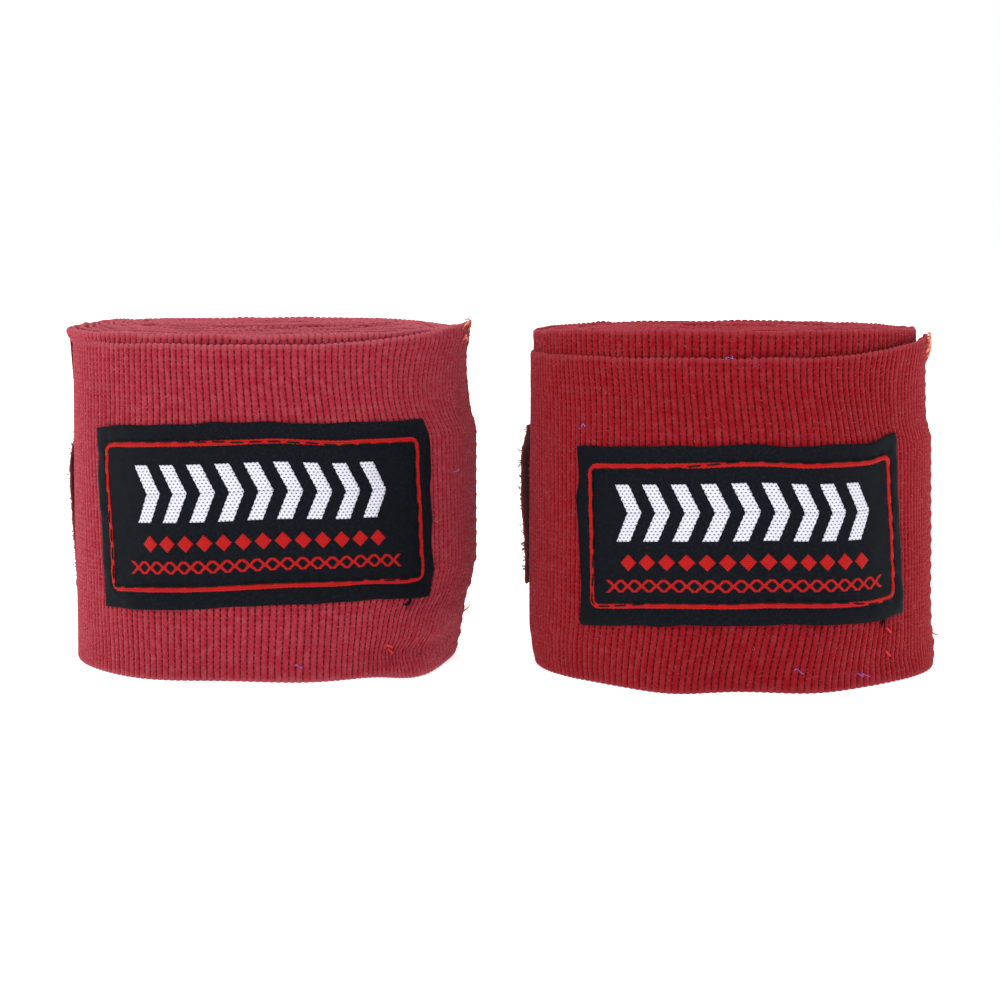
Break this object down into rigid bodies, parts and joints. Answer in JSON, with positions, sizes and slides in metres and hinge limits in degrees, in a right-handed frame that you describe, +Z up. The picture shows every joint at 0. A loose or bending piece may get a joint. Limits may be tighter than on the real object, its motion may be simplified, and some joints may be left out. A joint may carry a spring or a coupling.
{
  "type": "hand wrap",
  "caption": "Pair of elastic boxing hand wraps, each rolled up and closed by a labelled hook-and-loop flap that peels open.",
  "frame": {"origin": "under the middle of the pair, on the surface that the wraps stand on", "axes": "+X to the right along the pair, +Y to the back, away from the labels, +Z up along the strip's width"},
  "size_m": [0.1364, 0.0642, 0.053],
  "materials": {
    "left_strip": "ribbed elastic cotton, matte",
    "right_strip": "ribbed elastic cotton, matte",
    "loop_pile": "brushed nylon pile, matte",
    "hook_tape": "nylon hook tape, satin",
    "label_satin": "woven satin label, slight sheen",
    "black_thread": "polyester sewing thread, satin",
    "red_thread": "polyester sewing thread, satin",
    "overlock_thread": "textured nylon overlock thread, matte"
  },
  "bodies": {
    "left_roll": {"left_inner_turns": "left_strip", "left_outer_turn": "left_strip", "left_loop_patch": "loop_pile", "left_loop_patch_seam": "red_thread", "left_thumb_loop": "left_strip", "left_thumb_loop_bartack": "red_thread"},
    "left_flap": {"left_closure_flap": "left_strip", "left_hook_patch": "hook_tape", "left_woven_label": "label_satin", "left_label_seam": "black_thread", "left_end_overlock": "overlock_thread"},
    "right_roll": {"right_inner_turns": "right_strip", "right_outer_turn": "right_strip", "right_loop_patch": "loop_pile", "right_loop_patch_seam": "red_thread", "right_thumb_loop": "right_strip", "right_thumb_loop_bartack": "red_thread"},
    "right_flap": {"right_closure_flap": "right_strip", "right_hook_patch": "hook_tape", "right_woven_label": "label_satin", "right_label_seam": "black_thread", "right_end_overlock": "overlock_thread"}
  },
  "joints": [
    {"name": "left_flap_peel", "type": "hinge", "parent": "left_roll", "child": "left_flap", "pos_m": [-0.06741, 0.00489, 0.025], "axis": [0, 0, -1], "range_deg": [0, 110]},
    {"name": "right_wrap_lift", "type": "slide", "parent": "left_roll", "child": "right_roll", "axis": [0, 0, 1], "range_m": [0, 0.06]},
    {"name": "right_flap_peel", "type": "hinge", "parent": "right_roll", "child": "right_flap", "pos_m": [0.00446, -0.00351, 0.0245], "axis": [0, 0, -1], "range_deg": [0, 65]}
  ]
}
